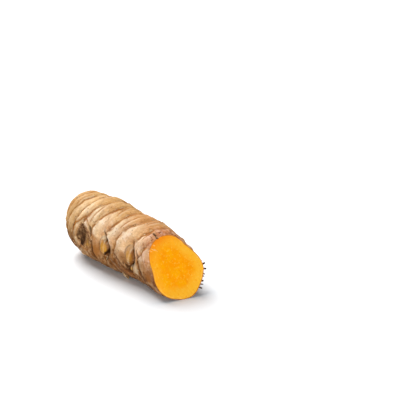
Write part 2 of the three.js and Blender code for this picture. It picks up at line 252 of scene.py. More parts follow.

# Long marks on the near side: deep folds by the scar and the buds, painted dark in their depths as shadow,
# wide patches of brown painted shade beside the folds, one plate painted paler as painted light, and rusty
# lines above the scar. Each has its mark, half-width, depth, strength and path, which is a list of places
# with their angles.
folds = [
    ("gapShadow", 0.85, 0.5, 1.0, [(32.0, 23), (33.1, 13), (33.4, 6), (33.1, -2), (32.2, -9.5), (30.8, -17)]),
    ("line", 0.75, 0.35, 1.0, [(45.6, 32), (46.4, 25), (46.5, 17), (45.9, 6), (44.7, -5), (43.3, -14)]),
    ("gapShadow", 0.9, 0.3, 0.8, [(42.1, -18), (43.5, -23.5), (44.7, -26.5), (46.2, -33)]),
    ("gapShadow", 1.7, 0.4, 0.72, [
        (22.8, 23), (23.8, 15), (24.0, 5), (24.1, -7), (24.2, -18), (24.7, -33), (26.2, -48)]),
    ("line", 0.55, 0.2, 0.9, [(35.4, 2), (38.1, -11), (40.9, -23), (43.7, -29), (46.2, -32)]),
    ("line", 0.9, 0.25, 0.95, [
        (48.3, 24), (49.0, 14), (49.2, 1), (49.6, -10), (50.6, -19), (52.4, -27), (54.4, -34)]),
    ("creaseShade", 3.2, 0.0, 0.9, [(24.9, 14), (25.4, 5), (26.2, -6), (26.2, -18), (26.0, -30)]),
    ("creaseShade", 2.2, 0.0, 0.8, [(50.8, 8), (53.0, -5), (55.4, -14), (57.0, -24)]),
    ("pale", 1.8, 0.0, 0.45, [(46.8, 0), (47.0, -8), (47.4, -16), (48.6, -25)]),
    ("rust", 0.5, 0.25, 0.95, [(13.6, 14), (14.4, 21), (16.6, 27), (18.8, 36), (20.9, 31), (22.4, 25)]),
    ("rust", 0.4, 0.15, 0.8, [(18.8, 36), (18.4, 27), (19.2, 18), (20.6, 11)]),
]


def sheathRelief(i, fromRing, toRing, angle):
    high, low = 0.5 * stepHeight(i, angle), -0.5 * stepHeight(i + 1, angle)
    t = fromRing / (fromRing + toRing)
    lip = ringForm["lipShare"] * high * np.exp(-fromRing / ringForm["lipWidth"]) if i >= 0 else 0
    return high + (low - high) * t + ringForm["swell"] * np.sin(np.pi * t) + lip


def jagAt(i, angle):  # how far a torn sheath edge strays from its ring
    if i < 0 or i >= len(rings):
        return np.zeros_like(angle)
    room = smooth(1.5, 5, cutEdge(angle) - ringLine(i, angle)) * min(1, 0.35 + 0.16 * i)
    return skin["jag"] * room * grain(0 * angle + 7.3 * i, angle, 1, skin["jagSize"], 24, 3)


def sectionRows(i):  # shares of the way from ring i to the next
    if i < 0:
        return (np.arange(1, skin["tipRows"] + 1) / skin["tipRows"]) ** 2
    end = rings[i + 1][0] if i + 1 < len(rings) else finger["cutAt"]
    length = end - rings[i][0]
    first, last = skin["afterRing"], skin["beforeRing"]
    count = round((length - first[-1] - last[0]) / skin["rowSpacing"]) + 1
    middle = np.linspace(first[-1], length - last[0], count)
    return np.concatenate([first[:-1], middle, length - np.array(last[1:])]) / length


def foldAt(along, angle, half, places):  # 1 in the fold and 0 beyond its half-width in mm
    around = skin["foldRadius"] * awayFrom(angle, 0)
    near, share = np.full_like(along, 99.0), np.zeros_like(along)
    for k, ((start, turn), (end, toTurn)) in enumerate(zip(places, places[1:])):
        first, last = skin["foldRadius"] * math.radians(turn), skin["foldRadius"] * math.radians(toTurn)
        u, v, du, dv = along - start, around - first, end - start, last - first
        t = np.clip((u * du + v * dv) / (du ** 2 + dv ** 2), 0, 1)
        away = np.hypot(u - t * du, v - t * dv)
        share = np.where(away < near, (k + t) / (len(places) - 1), share)
        near = np.minimum(near, away)
    width = half * (0.35 + 0.65 * np.sqrt(np.sin(np.pi * share)))  # the fold narrows towards its ends
    return smooth(width, 0.35 * width, near + 0.25 * half * grain(along, angle, 1, 1, 25))


def strengthen(marks, name, values):
    marks[name] = np.maximum(marks[name], values)


def shapeBud(n, x, y, relief, almond, marks):  # an almond with two scales, standing out of its hollow
    form = budForm
    hollow, stands, amber, cream = buds[n][6:]
    by = y / form["long"]
    bx = x / form["wide"] / np.maximum(form["narrowest"], 1 - form["taper"] * by ** 2)
    edge = np.hypot(bx, by)
    rise = np.sqrt(np.maximum(0, 1 - edge ** 2))
    ridge = bx - form["ridgeAt"] - form["ridgeSlant"] * by
    scales = form["scaleGrain"] * grain(bx * 3, by, 1, 14, 60 + n)
    scales = scales - form["scaleStep"] * min(stands, 1) * smooth(-0.05, 0.1, ridge)
    outside = -hollow + (hollow + stands) * rise + scales * rise
    almond = np.where(edge < 1, np.maximum(almond, outside), almond)
    moat = bell(edge - form["moatAt"], form["moatWidth"]) * smooth(-0.3, 0.5, bx)
    relief = relief - form["moatDepth"] * min(stands, 1) * moat
    # dark painted shadow in the gap beside the bud, on its side towards the cut
    gapShadow = bell(edge - form["gapAt"], form["gapWidth"]) * smooth(-0.2, 0.6, bx) * smooth(-1.0, -0.5, by)
    gapShadow = gapShadow * smooth(0.5, 1.0, stands + 0 * bx)
    strengthen(marks, "gapShadow", (0.4 + 1.0 * amber) * gapShadow)
    onIt = smooth(1.08, 0.92, edge)
    (lensX, lensY), (lensWide, lensLong) = form["lensPlace"], form["lensSize"]
    lens = smooth(1.1, 0.7, np.hypot((bx - lensX) / lensWide, (by - lensY) / lensLong))
    lens = lens * (0.85 + 0.5 * grain(bx * 2, by * 2, 1, 9, 76 + n))
    strengthen(marks, "amber", amber * onIt * lens)
    # darker beyond the ridge and at the bud's lower and tip-side edges: partly the brown of its inner scale,
    # partly painted shade
    dark = smooth(-0.12, 0.12, ridge) + 0.6 * smooth(-0.5, -0.9, by) + 0.5 * smooth(-0.5, -0.8, bx)
    strengthen(marks, "brown", onIt * dark)
    strengthen(marks, "pale", cream * onIt * smooth(0.5, 0.8, by) * smooth(0.8, 0.4, bx))
    strengthen(marks, "pale", 0.7 * onIt * bell(ridge + 0.14, 0.1))
    return relief, almond


def shapeScar(x, y, along, angle, relief, marks):  # the rough floor where a bud broke away
    form = scarForm
    pointed = np.hypot(x / np.maximum(form["narrowest"], 1 - form["taper"] * y ** 2), y)
    floor = smooth(1.0, 0.88, pointed + form["ragged"] * grain(along, angle, 1.5, 1.5, 71))
    relief = relief + floor * form["rough"] * grain(along, angle, 0.9, 1.1, 72, 3)
    # the tip-side part of the scar's floor is painted dark: painted shade in the hollow
    shadedFloor = floor * smooth(0.24, -0.16, x - 0.4 * y) * smooth(1.05, 0.85, np.abs(y))
    strengthen(marks, "gapShadow", shadedFloor * (0.74 + 0.4 * grain(along, angle, 1.2, 1.5, 74)))
    rustX, rustY = form["rustPlace"]
    rusty = floor * bell(np.hypot(x - rustX, y - rustY), form["rustSize"])
    rusty = rusty * (0.7 + 0.7 * grain(along, angle, 1, 1, 75))
    strengthen(marks, "amber", 0.9 * rusty)
    strengthen(marks, "scar", floor * (1 - np.clip(rusty, 0, 1)))
    lip = bell(np.hypot(x, y) - form["lipAt"], form["lipWidth"])
    lip = lip * smooth(0.5, 0.0, x) * smooth(-0.2, 0.2, grain(along, angle, 2, 2, 73))
    strengthen(marks, "pale", 0.6 * lip)
    # a thin dark line round the scar's edge: painted shade
    strengthen(marks, "creaseShade", bell(pointed - 1.02, 0.06))
    return relief


def addCreases(along, angle, fine, marks):
    form = creaseForm
    for at, towards, half, slope, depth in creases:
        away = np.degrees(awayFrom(angle, towards)) / half
        past = along - (at + slope * away + form["waver"] * grain(0 * along + at, angle, 1, 2.5, 16))
        ends = smooth(1, 0.5, np.abs(away))
        dip = bell(past, form["width"]) * ends
        fine = fine - depth * dip + 0.5 * depth * bell(past - form["bankAt"], form["bankWidth"]) * ends
        strengthen(marks, "rust", 0.9 * smooth(form["rustFrom"], form["rustTo"], np.abs(past)) * ends)
        # a pale painted highlight on the bank beyond each crease
        strengthen(marks, "lip", 0.7 * bell(past - form["lipAt"], form["lipWidth"]) * ends)
    for name, half, depth, strong, places in folds:
        fold = foldAt(along, angle, half, places)
        fine = fine - depth * fold
        strengthen(marks, name, strong * fold)
        marks["lip"] = marks["lip"] * (1 - fold)
    for start, end, towards, width, depth in cracks:
        away = awayFrom(angle, towards) * bodyRadius(along, angle)
        ends = smooth(start, start + 0.6, along) * smooth(end, end - 0.6, along)
        split = bell(away - 0.5 * grain(along, 0 * angle, 0.7, 9, 19, 3), width) * ends
        fine = fine - depth * split
        # the inside of the split is painted dark as its shadow
        strengthen(marks, "gapShadow", 1.2 * split)
    return fine


def addTornLip(i, along, fromRing, angle, fine, marks):  # the torn edge of the sheath that starts at ring i
    high = smooth(0.05, 0.5, stepHeight(i, angle))
    fine = fine - skin["edgeRound"] * high * np.exp(-fromRing / skin["edgeReach"])
    torn = skin["overhang"] * high * (0.5 + 0.5 * grain(0 * along + i, angle, 1, 1.3, 18, 3))
    along = along - torn * np.exp(-fromRing / skin["overhangReach"])
    frayed = smooth(0.0, 0.5, grain(0 * along + 2 * i, angle, 1, 1.6, 23, 3))
    fine = fine + skin["frayed"] * high * frayed * np.exp(-fromRing / skin["frayReach"])
    # a rusty line of uneven thickness on the edge, and behind it a pale strip of painted highlight, widest
    # and palest on the side that faces the lamps
    thick = 0.24 + 0.56 * smooth(-0.3, 0.5, grain(0 * along + 3 * i, angle, 1, 3.5, 42))
    whole = smooth(-0.35, -0.05, grain(0 * along + 5 * i, angle, 1, 2.2, 47, 3))
    strengthen(marks, "rust", high * whole * smooth(1.1, 0.75, fromRing / thick))
    strengthen(marks, "line", high * whole * smooth(0.5, 0.25, fromRing / thick) * smooth(0.3, 0.6, thick))
    litSide, pastLine = bell(angle - 0.7, 0.6), fromRing - thick
    behind = smooth(0, 0.2, pastLine) * np.exp(-np.maximum(0, pastLine - 0.2) / (0.9 + 1.1 * litSide))
    litStrip = high * behind * (0.4 + 0.9 * litSide)
    strengthen(marks, "lip", litStrip * (0.7 + 0.6 * grain(along, angle, 2, 3, 43)))
    return along, fine


def addTones(t, along, angle, wrinkle, folded, fibre, marks):  # t is the share of the way to the next ring
    # ring lines are rust-orange on the lit upper side and dark brown on the shaded lower side: painted light
    # and shade
    lit, shaded = smooth(0.1, 0.7, np.sin(angle)), smooth(0.25, -0.25, np.sin(angle))
    strengthen(marks, "rust", marks["line"] * lit)
    marks["line"] = np.maximum(marks["line"] * (1 - 0.6 * lit), 0.75 * marks["rust"] * shaded)
    marks["late"] = smooth(0.5, 1.0, t) * (0.6 + 0.7 * grain(along, angle, 3, 4, 44))
    marks["rosy"] = smooth(12, 46, along + 5 * grain(along, angle, 8, 8, 48))
    # paler where the skin faces the lamps, near the start of each band: painted light
    marks["litSide"] = bell(angle - 0.55, 0.55) * smooth(1.0, 0.3, t) * smooth(8, 22, along)
    topSide = smooth(0.9, 1.5, angle) * smooth(3.3, 2.5, angle)
    marks["tanned"] = np.maximum(smooth(20, 4, along), 0.7 * topSide)
    marks["nearCut"] = smooth(8, 1.5, cutEdge(angle) - along)
    marks["nearCut"] = marks["nearCut"] * (0.7 + 0.8 * grain(along, angle, 2.5, 2.5, 45))
    # darker in wrinkle hollows and folds: painted shade; paler on wrinkle crests: painted highlight
    marks["groove"] = np.maximum(smooth(0.05, 0.6, -wrinkle - 0.2 * fibre), 0.8 * folded)
    marks["ridge"] = smooth(0.1, 0.6, wrinkle + 0.3 * fibre) * (1 - folded)
    # darker towards the underside: painted shade
    downwards = -np.sin(angle) * bodyRadius(along, angle) / through(finger["girth"], along)
    marks["underShade"] = smooth(-0.35, 0.4, downwards + 0.2 * grain(along, angle, 4, 3, 46))
    marks["upper"] = 1 - marks["underShade"]


def skinSection(i, angle):
    start, end = ringLine(i, angle), ringLine(i + 1, angle)
    t = sectionRows(i)[:, None]
    angle = np.broadcast_to(angle, (len(t), angle.shape[-1]))
    along = start + t * (end - start)
    fromRing, toRing = along - start, end - along
    last = i + 1 == len(rings)
    drawn = ("scar", "amber", "brown", "gapShadow", "pale", "creaseShade", "rust", "line", "lip")
    marks = {name: np.zeros_like(along) for name in drawn}

    # the form that the solid has: sheaths, hollows and buds
    relief = sheathRelief(i, fromRing, toRing, angle)
    noBud = -9.0
    almond = np.full_like(along, noBud)
    for n, bud in enumerate(buds):
        x, y = budPlace(bud, along, angle)
        rim, hollow, stands = bud[5:8]
        far = np.hypot(x, y)
        relief = relief - hollow * np.exp(-((far / budForm["reach"]) ** budForm["steepness"]))
        relief = relief + rim * bell(far - budForm["rimAt"], budForm["rimWidth"])
        if stands:
            relief, almond = shapeBud(n, x, y, relief, almond, marks)
        else:
            relief = shapeScar(x, y, along, angle, relief, marks)

    # what is finer than the solid: torn lips, creases, wrinkles and fibres
    bent = along + 0.7 * grain(along, angle, 5, 5, 11)
    wrinkle = grain(bent, angle, *skin["wrinkleGrain"], 12, 3)
    folded = np.maximum(0, 1 - np.abs(grain(bent, angle, *skin["foldedGrain"], 21)) / skin["foldedSharpness"])
    folded = folded * smooth(-0.2, 0.25, grain(along, angle, 3, 4, 22))
    fibre = grain(along, angle, *skin["fibreGrain"], 13)
    lump = grain(along, angle, *skin["lumpGrain"], 14)
    along = along + jagAt(i, angle) * np.exp(-fromRing / skin["jagReach"])
    along = along + jagAt(i + 1, angle) * np.exp(-toRing / skin["jagReach"])
    nextStep = stepHeight(i + 1, angle)
    strength = 0.45 + 0.55 * smooth(-0.5, 0.3, grain(along, angle, 9, 3.2, 15 + i))
    strength = strength * smooth(0.05, 0.4, nextStep)
    reach = 0.35 + 0.9 * nextStep
    # a brown band before the next ring, wider where its step is taller: painted shade in the crease under
    # that ring's lip
    strengthen(marks, "creaseShade", strength * smooth(reach + 0.5, 0.5 * reach, toRing))
    fine = skin["wrinkleDepth"] * (wrinkle - folded) + skin["fibreDepth"] * fibre + skin["lumpDepth"] * lump
    fine = addCreases(along, angle, fine, marks)
    if i >= 0:
        along, fine = addTornLip(i, along, fromRing, angle, fine, marks)
    groove = bell(toRing, skin["creaseWidth"]) * strength
    fine = fine - skin["creaseDepth"] * groove
    # a dark line at the foot of the next ring's step: partly the skin's own ring line, partly painted shade
    # in the crease
    strengthen(marks, "line", strength * bell(toRing, 0.3 + 0.4 * nextStep) * smooth(-0.3, 0.2, fibre))
    addTones(t, along, angle, wrinkle, folded, fibre, marks)
    if i < 0:  # the bud scales close smoothly over the growing tip
        for name in ("groove", "ridge", "late", "lip", "rust", "line"):
            marks[name] = marks[name] * smooth(0.1, 2.2, along)
    marks = {name: np.clip(values, 0, 1) for name, values in marks.items()}

    # relief fades out at the tip and at the cut, where the points come to lie in the knife's plane
    fade = np.minimum(1, along / finger["nearTip"]) * (1 - t ** 4 if last else 1)
    relief = relief * fade
    relief = np.where(almond > relief, almond * fade, relief)
    fine = fine * smooth(0.0, 2.5, along) * np.where(almond > noBud, skin["shareOnBuds"], 1)
    held = np.minimum(along, finger["cutAt"]) if last else along
    radius = bodyRadius(held, angle) + relief + fine * (1 - 0.6 * t ** 6 if last else 1)
    axisY, axisZ = axisAt(held)
    y = axisY - radius * np.cos(angle)
    z = np.maximum(0, axisZ + radius * np.sin(angle))
    if last:
        along = np.concatenate([along[:-1], cutPlane(y[-1:], z[-1:])])
    return np.stack([along, y, z], -1), marks


def skinGrid():
    angle = np.linspace(0, 2 * np.pi, skin["columns"], endpoint=False)[None] - math.pi / 2
    sections = [skinSection(i, angle) for i in range(-1, len(rings))]
    points = np.concatenate([s[0] for s in sections])
    return points, {k: np.concatenate([s[1][k] for s in sections]) for k in sections[0][1]}


# The cut face. Its rows go from just inside the skin's edge to its middle, and it has a rolled edge, soft
# bulges, the lines that the knife dragged, and fine specks. Sizes and heights are in mm.
cutFace = {
    "rows": (0.16, 0.34, 0.6), "rowSpacing": 0.45, "middleLeft": 0.6, "roll": 0.16, "rollReach": 0.3,
    "bulge": 0.05, "bulgeSize": 2.6, "drag": 0.018, "dragSize": 1.4, "speck": 0.03, "speckSize": 0.55,
    "warmTowards": 1.2, "warmWidth": 0.75, "warmReach": 1.9, "paleTowards": 205,
}


def cutGrid(edge):
    look = cutFace
    middleY, middleZ = axisAt(finger["cutAt"])
    outY, outZ = edge[:, 1] - middleY, edge[:, 2] - middleZ
    reach = np.hypot(outY, outZ)
    depths = list(look["rows"])
    while depths[-1] + look["rowSpacing"] < reach.mean() - look["middleLeft"]:
        depths.append(depths[-1] + look["rowSpacing"])
    share = 1 - np.array(depths)[:, None] / reach.mean()
    y, z = middleY + outY * share, middleZ + outZ * share
    fromEdge = reach * (1 - share)
    bulge = look["bulge"] * latticeNoise(y / look["bulgeSize"], z / look["bulgeSize"], 0 * y, 31)
    bulge = -look["roll"] * np.exp(-fromEdge / look["rollReach"]) + bulge
    waver = latticeNoise(y / 4, z / 4, 0 * y, 32)
    drag = look["drag"] * np.sin((0.9 * y + 0.45 * z) * 2 * np.pi / look["dragSize"] + 2 * waver)
    speck = look["speck"] * latticeNoise(y / look["speckSize"], z / look["speckSize"], 0 * y, 33)
    angle = np.arctan2(outZ, -outY)[None]
    away = angle - look["warmTowards"]
    warm = bell(np.arctan2(np.sin(away), np.cos(away)), look["warmWidth"])
    warm = warm * np.exp(-(fromEdge / look["warmReach"]) ** 2)
    side = 0.5 + 0.5 * smooth(-0.9, 0.5, np.cos(angle - math.radians(look["paleTowards"])))
    marks = {"fromEdge": fromEdge, "warmEdge": warm, "paleSide": side + 0 * fromEdge}
    return np.stack([cutPlane(y, z) + bulge + drag + speck, y, z], -1), marks


skinPoints, skinMarks = skinGrid()
cadLow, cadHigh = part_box("rhizome")
acrossMiddle = (skinPoints[..., 1].min() + skinPoints[..., 1].max()) / 2
intoPart = np.array([cadLow.x / mm, (cadLow.y + cadHigh.y) / 2 / mm - acrossMiddle, 0])
print("skin grid", skinPoints.shape, "shift into the part", intoPart.round(3))


def placeInPart(points):  # from the finger's own millimetres to the part's metres
    return (np.asarray(points) + intoPart) * mm


def addObject(name, points, faces, material):
    mesh = bpy.data.meshes.new(name)
    mesh.from_pydata([tuple(p) for p in points], [], faces)
    mesh.validate()
    mesh.polygons.foreach_set("use_smooth", [True] * len(mesh.polygons))
    piece = bpy.data.objects.new(name, mesh)
    bpy.context.scene.collection.objects.link(piece)
    mesh.materials.append(material)
    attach(piece, "root")
    return piece


def linear(colour):  # sRGB hex to linear values
    parts = [int(colour[k:k + 2], 16) / 255 for k in (1, 3, 5)]
    return tuple(v / 12.92 if v <= 0.04045 else ((v + 0.055) / 1.055) ** 2.4 for v in parts) + (1,)


def perMm(size):  # texture scale whose pattern has this size in mm
    return 1000 / size


def addNode(material, kind, settings=None, inputs=None, stops=None):
    node = material.node_tree.nodes.new("ShaderNode" + kind)
    for name, value in (settings or {}).items():
        setattr(node, name, value)
    for name, value in (inputs or {}).items():
        socket = node.inputs[name]
        if isinstance(value, bpy.types.NodeSocket):
            material.node_tree.links.new(value, socket)
        else:
            socket.default_value = linear(value) if isinstance(value, str) else value
    for k, (place, colour) in enumerate(stops or []):
        element = node.color_ramp.elements[k] if k < 2 else node.color_ramp.elements.new(place)
        element.position = place
        element.color = linear(colour) if isinstance(colour, str) else (colour, colour, colour, 1)
    return node


def newMaterial(name):
    material = bpy.data.materials.new(name)
    material.use_nodes = True
    material.node_tree.nodes.clear()
    return material


def addNoises(material, place, noises):  # each noise, with its two values spread to 0 and 1
    spread = {}
    for name, (size, detail, roughness, low, high) in noises.items():
        texture = addNode(material, "TexNoise", {}, {
            "Vector": place, "Scale": perMm(size), "Detail": detail, "Roughness": roughness})
        spread[name] = addNode(material, "MapRange", {}, {
            "Value": texture.outputs["Fac"], "From Min": low, "From Max": high}).outputs["Result"]
    return spread


def finishMaterial(material, look, colour, height, roughness, specular=None):
    bump = addNode(material, "Bump", {}, {
        "Height": height, "Distance": look["bumpMm"] * mm, "Strength": look["bumpStrength"]})
    gloss = {} if specular is None else {"Specular IOR Level": specular}
    shader = addNode(material, "BsdfPrincipled", {}, {
        "Base Color": colour, "Roughness": roughness, "Normal": bump.outputs["Normal"], **gloss})
    addNode(material, "OutputMaterial", {}, {"Surface": shader.outputs["BSDF"]})
    return material


# Dry papery sheath skin of a rhizome, rubbed with its own starch dust. It gives the eye matt tan paper
# with pale dusty patches, rusty ring lines, amber buds and a grey-brown scar. Light and shade are also
# painted into its colour: dark painted shadow in folds, gaps, cracks and the scar's hollow, brown painted
# shade in creases, wrinkle hollows and on the underside, and painted highlights on wrinkle crests, torn
# lips and the side that faces the lamps.
sheathSkin = {
    "noises": {  # size in mm, detail, roughness, and the two values spread to 0 and 1
        "fine": (0.9, 5, 0.7, 0.4, 0.6), "soft": (3.4, 4, 0.55, 0.35, 0.65), "wide": (8, 3, 0.5, 0.4, 0.62),
        "dusty": (2.6, 5, 0.7, 0.5, 0.62), "speckled": (0.8, 2, 0.5, 0.64, 0.72),
        "scarred": (1.2, 5, 0.7, 0.36, 0.64), "blotched": (1.6, 5, 0.7, 0.52, 0.62),
        "grit": (0.45, 4, 0.6, 0.3, 0.7),
    },
    "tan": [(0.05, "#A46C2C"), (0.95, "#F2CE94"), (0.35, "#CA9650"), (0.65, "#DFAE6A")],
    "scar": [(0.15, "#5A3618"), (0.9, "#DCAC74"), (0.5, "#A8744A")],
    "layers": [  # colour, the mark and the noise it follows, and its least and most
        # the layers that follow the grooves, creases and the underside are painted shade; those that follow
        # ridges, lips and the lit side are painted highlight
        ("#F2D09C", "upper", "dusty", 0.1, 0.6), ("#C87238", "rosy", "wide", 0.2, 0.62),
        ("#C07C38", "late", "soft", 0.1, 0.5), ("#8F5A24", "groove", "fine", 0.25, 0.85),
        ("#F6DAB0", "ridge", "fine", 0, 0.65), ("#FBE4BE", "lip", "soft", 0.6, 1),
        ("#FCE2C6", "litSide", "dusty", 0.25, 0.8), ("#C08A48", "tanned", "soft", 0.45, 0.9),
        ("#CC7E58", "nearCut", "soft", 0.3, 0.75), ("#7E3C20", "nearCut", "blotched", 0.1, 0.9),
        ("#F2CFB4", "nearCut", "dusty", 0, 0.5), ("#6A3E18", "underShade", "soft", 0.6, 0.95),
        ("#3C2006", "underShade", "blotched", 0.05, 0.8), ("#CFA070", "underShade", "dusty", 0, 0.55),
        ("#6B4220", None, "speckled", 0, 0.6), ("#A26428", "creaseShade", "wide", 0.4, 0.9),
        ("#A8641A", "rust", "fine", 0.75, 0.95), ("#4C260A", "line", "fine", 0.6, 1),
        ("#F6DFB8", "pale", "fine", 0.6, 0.95), ("#8C5626", "brown", "fine", 0.5, 0.9),
        ("#D2952A", "amber", "fine", 0.6, 1),
    ],
    "gapShadow": "#301A0A", "specular": (0.12, 0.03),  # colour of the painted shadow in gaps and folds; specular on the open skin and where that shadow is painted
    "roughness": (0.6, 0.85), "gritShare": 0.35, "bumpMm": 0.06, "bumpStrength": 0.9,
}


def makeSheathSkin():
    look = sheathSkin
    material = newMaterial("drySheathSkin")
    place = addNode(material, "TexCoord").outputs["Object"]
    mark = {name: addNode(material, "Attribute", {"attribute_name": name}).outputs["Fac"]
            for name in skinMarks}
    noise = addNoises(material, place, look["noises"])
    mottle = addNode(material, "Mix", {}, {
        "Factor": 0.5, "A": noise["fine"], "B": noise["soft"]}).outputs["Result"]
    colour = addNode(material, "ValToRGB", {}, {"Fac": mottle}, look["tan"]).outputs["Color"]
    scarTone = addNode(material, "ValToRGB", {}, {"Fac": noise["scarred"]}, look["scar"]).outputs["Color"]
    coats = []
    for shade, markName, noiseName, least, most in look["layers"]:
        share = addNode(material, "MapRange", {}, {
            "Value": noise[noiseName], "To Min": least, "To Max": most}).outputs["Result"]
        if markName:
            share = addNode(material, "Math", {"operation": "MULTIPLY"}, {
                0: share, 1: mark[markName]}).outputs[0]
        coats.append((share, shade))
    for share, shade in coats + [(mark["scar"], scarTone), (mark["gapShadow"], look["gapShadow"])]:
        colour = addNode(material, "Mix", {"data_type": "RGBA"}, {
            "Factor": share, 6: colour, 7: shade}).outputs[2]
    least, most = look["roughness"]
    rough = addNode(material, "MapRange", {}, {"Value": noise["soft"], "To Min": least, "To Max": most})
    least, most = look["specular"]
    sheen = addNode(material, "MapRange", {}, {"Value": mark["gapShadow"], "To Min": least, "To Max": most})
    relief = addNode(material, "Mix", {}, {
        "Factor": look["gritShare"], "A": noise["fine"], "B": noise["grit"]}).outputs["Result"]
    return finishMaterial(material, look, colour, relief, rough.outputs["Result"], sheen.outputs["Result"])


# Raw turmeric flesh, freshly cut with a knife. It gives the eye a moist, strongly orange face with a
# paler band inside the skin, a deeper core and pale starchy specks.
rawFlesh = {
    "noises": {
        "soft": (2.4, 4, 0.55, 0.35, 0.65), "specks": (0.7, 3, 0.6, 0.56, 0.7),
        "pits": (0.9, 2, 0.5, 0.62, 0.74), "starchy": (0.6, 4, 0.6, 0.3, 0.7),
    },
    "core": [(0.1, "#FF9A00"), (0.9, "#FFA900"), (0.5, "#FFA100")],
    "layers": [  # colour, what it follows, and for a band from and to in mm inside the skin and its most
        ("#FFBA30", "paleSide", 5.2, 2.2, 0.95), ("#FFC040", "specks"), ("#FA9200", "pits"),
        ("#FFC965", "paleSide", 1.3, 0.6, 0.45), ("#FC8E16", "warmEdge"),
        ("#D07A20", "fromEdge", 0.3, 0.1, 1),
    ],
    "uneven": 1.2, "roughness": (0.34, 0.5), "specular": 0.06, "bumpMm": 0.03, "bumpStrength": 0.8,
}


def makeRawFlesh():
    look = rawFlesh
    material = newMaterial("rawTurmericFlesh")
    place = addNode(material, "TexCoord").outputs["Object"]
    noise = addNoises(material, place, look["noises"])
    source = {**noise, **{name: addNode(material, "Attribute", {"attribute_name": name}).outputs["Fac"]
                          for name in ("fromEdge", "warmEdge", "paleSide")}}
    colour = addNode(material, "ValToRGB", {}, {"Fac": noise["soft"]}, look["core"]).outputs["Color"]
    uneven = addNode(material, "Math", {"operation": "MULTIPLY_ADD"}, {
        0: noise["soft"], 1: look["uneven"], 2: source["fromEdge"]}).outputs[0]
    for shade, follows, *band in look["layers"]:
        share = source[follows]
        if band:
            start, end, most = band
            rim = follows == "fromEdge"
            share = addNode(material, "MapRange", {"interpolation_type": "SMOOTHSTEP"}, {
                "Value": share if rim else uneven, "From Min": start, "From Max": end,
                "To Min": 0, "To Max": most}).outputs["Result"]
            if not rim:
                share = addNode(material, "Math", {"operation": "MULTIPLY"}, {
                    0: share, 1: source[follows]}).outputs[0]
        colour = addNode(material, "Mix", {"data_type": "RGBA"}, {
            "Factor": share, 6: colour, 7: shade}).outputs[2]
    least, most = look["roughness"]
    rough = addNode(material, "MapRange", {}, {"Value": noise["soft"], "To Min": least, "To Max": most})
    return finishMaterial(material, look, colour, noise["starchy"], rough.outputs["Result"], look["specular"])


# For bark and paper, whose tones follow a fibrous grain, stretched along X where the real fibres run so. The
# grain has its size in mm, detail, roughness, and the two values spread to 0 and 1.
def makeDryFibre(name, look):
    material = newMaterial(name)
    place = addNode(material, "TexCoord").outputs["Object"]
    stretched = addNode(material, "Mapping", {}, {"Vector": place, "Scale": look["stretch"]})
    size, detail, roughness, low, high = look["grain"]
    fibre = addNode(material, "TexNoise", {}, {
        "Vector": stretched.outputs["Vector"], "Scale": perMm(size), "Detail": detail,
        "Roughness": roughness}).outputs["Fac"]
    spread = addNode(material, "MapRange", {}, {
        "Value": fibre, "From Min": low, "From Max": high}).outputs["Result"]
    colour = addNode(material, "ValToRGB", {}, {"Fac": spread}, look["tones"]).outputs["Color"]
    return finishMaterial(material, look, colour, fibre, look["roughness"])


sheathMaterial = makeSheathSkin()
fleshMaterial = makeRawFlesh()
print("materials ready")


def makeRhizome():
    faceRows, faceMarks = cutGrid(skinPoints[-1])
    tipY, tipZ = axisAt(0)
    middleY, middleZ = axisAt(finger["cutAt"])
    middle = (cutPlane(middleY, middleZ), middleY, middleZ)
    grid = np.concatenate([skinPoints, faceRows])
    rows, columns = grid.shape[:2]
    points = placeInPart(np.concatenate([[(0, tipY, tipZ)], grid.reshape(-1, 3), [middle]]))
    at = 1 + np.arange(rows)[:, None] * columns + np.arange(columns)[None]
    nextOne = np.roll(at, -1, axis=1)
    quads = np.stack([at[:-1], at[1:], nextOne[1:], nextOne[:-1]], -1).reshape(-1, 4)
    tipFan = np.stack([np.zeros(columns, int), at[0], nextOne[0]], -1)
    middleFan = np.stack([at[-1], np.full(columns, len(points) - 1), nextOne[-1]], -1)
    faces = tipFan.tolist() + quads.tolist() + middleFan.tolist()
    piece = addObject("turmeric_rhizome", points, faces, sheathMaterial)
    mesh = piece.data
    mesh.materials.append(fleshMaterial)
    slots = np.zeros(len(mesh.polygons), np.int32)
    slots[columns * len(skinPoints):] = 1
    mesh.polygons.foreach_set("material_index", slots)
    onSkin, onFace = np.zeros(skinPoints.shape[:2]), np.zeros(faceRows.shape[:2])
    for name, values in skinMarks.items():
        full = np.concatenate([[values[0].mean()], values.ravel(), onFace.ravel(), [0]])
        mesh.attributes.new(name, "FLOAT", "POINT").data.foreach_set("value", full.astype(np.float32))
    for name, values in faceMarks.items():
        full = np.concatenate([[0], onSkin.ravel(), values.ravel(), [values[-1].mean()]])
        mesh.attributes.new(name, "FLOAT", "POINT").data.foreach_set("value", full.astype(np.float32))
    shape = bmesh.new()
    shape.from_mesh(mesh)
    for edge in shape.edges:  # the knife's edge stays crisp
        edge.smooth = len({face.material_index for face in edge.link_faces}) == 1
    shape.to_mesh(mesh)
    shape.free()
    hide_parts("rhizome")
    print("rhizome", len(mesh.polygons), "faces")


makeRhizome()


def skinAt(along, angle):  # the point of the finished skin nearest a place, in the finger's millimetres
    column = round((angle + 90) / 360 * skin["columns"]) % skin["columns"]
    row = int(np.argmin(np.abs(skinPoints[:, column, 0] - along)))
    return skinPoints[row, column]


def outwardAt(angle):
    return np.array([0, -math.cos(math.radians(angle)), math.sin(math.radians(angle))])


def wallFaces(rows, sides):  # the quads between neighbouring rows of a closed tube
    faces = []
    for k in range(rows - 1):
        for n in range(sides):
            a, b = k * sides + n, k * sides + (n + 1) % sides
            faces.append((a, b, b + sides, a + sides))
    return faces


